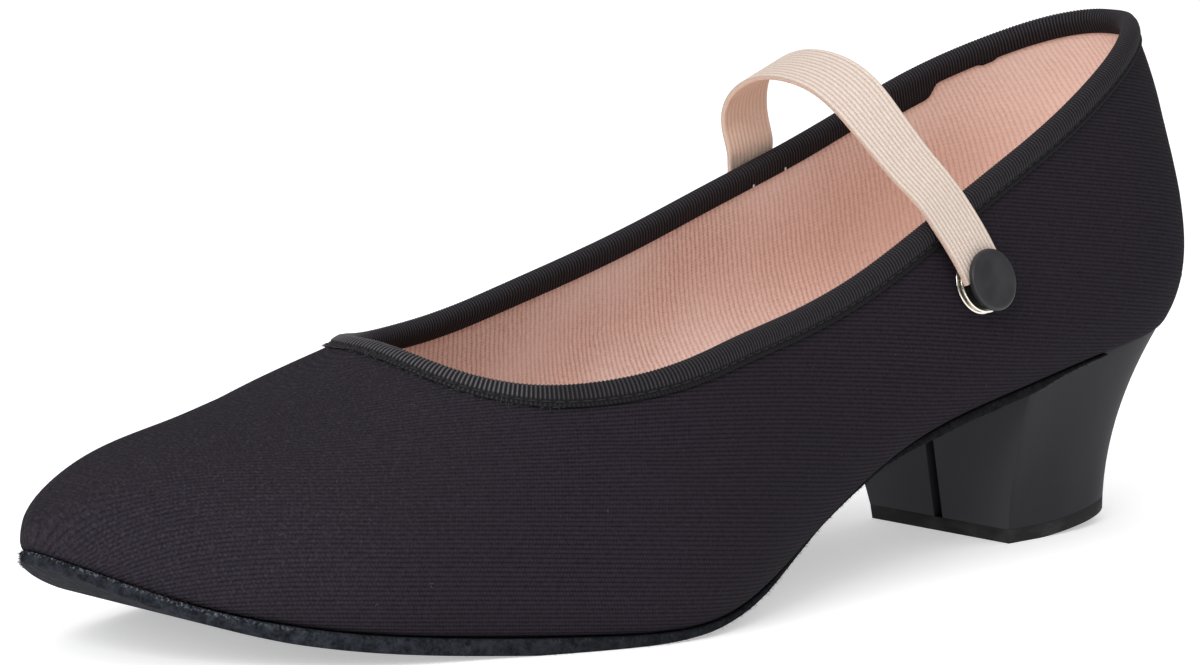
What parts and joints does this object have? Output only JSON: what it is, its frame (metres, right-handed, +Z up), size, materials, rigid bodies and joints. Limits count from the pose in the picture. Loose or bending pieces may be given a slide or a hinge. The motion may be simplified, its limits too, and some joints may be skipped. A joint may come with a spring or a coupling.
{
  "type": "character dance shoe",
  "caption": "Low-cut canvas character dance shoe for the left foot, with a low curved heel, thin suede sole, bound collar and an elastic instep strap closed by a snap.",
  "frame": {"origin": "on the floor, under the middle of the shoe's outline", "axes": "+X from the heel to the toe, +Y to the outer side of the left foot, +Z up"},
  "size_m": [0.288, 0.099, 0.1087],
  "materials": {
    "canvas": "black ribbed cotton canvas, matte",
    "grosgrain": "black grosgrain tape with cross ribs",
    "insole_cloth": "pink-beige canvas, matte",
    "suede": "dark blue-grey suede, napped edge",
    "heel_plastic": "black satin moulded plastic",
    "rubber": "black rubber, matte",
    "elastic": "cream ribbed elastic",
    "nickel": "bright nickel plate",
    "cap_plastic": "black satin cap"
  },
  "bodies": {
    "root": {"upper": "canvas", "collar_binding": "grosgrain", "insole": "insole_cloth", "outsole": "suede", "heel": "heel_plastic", "heel_lift": "rubber", "elastic_strap": "elastic", "snap_base": "nickel", "snap_cap": "cap_plastic"}
  },
  "joints": []
}
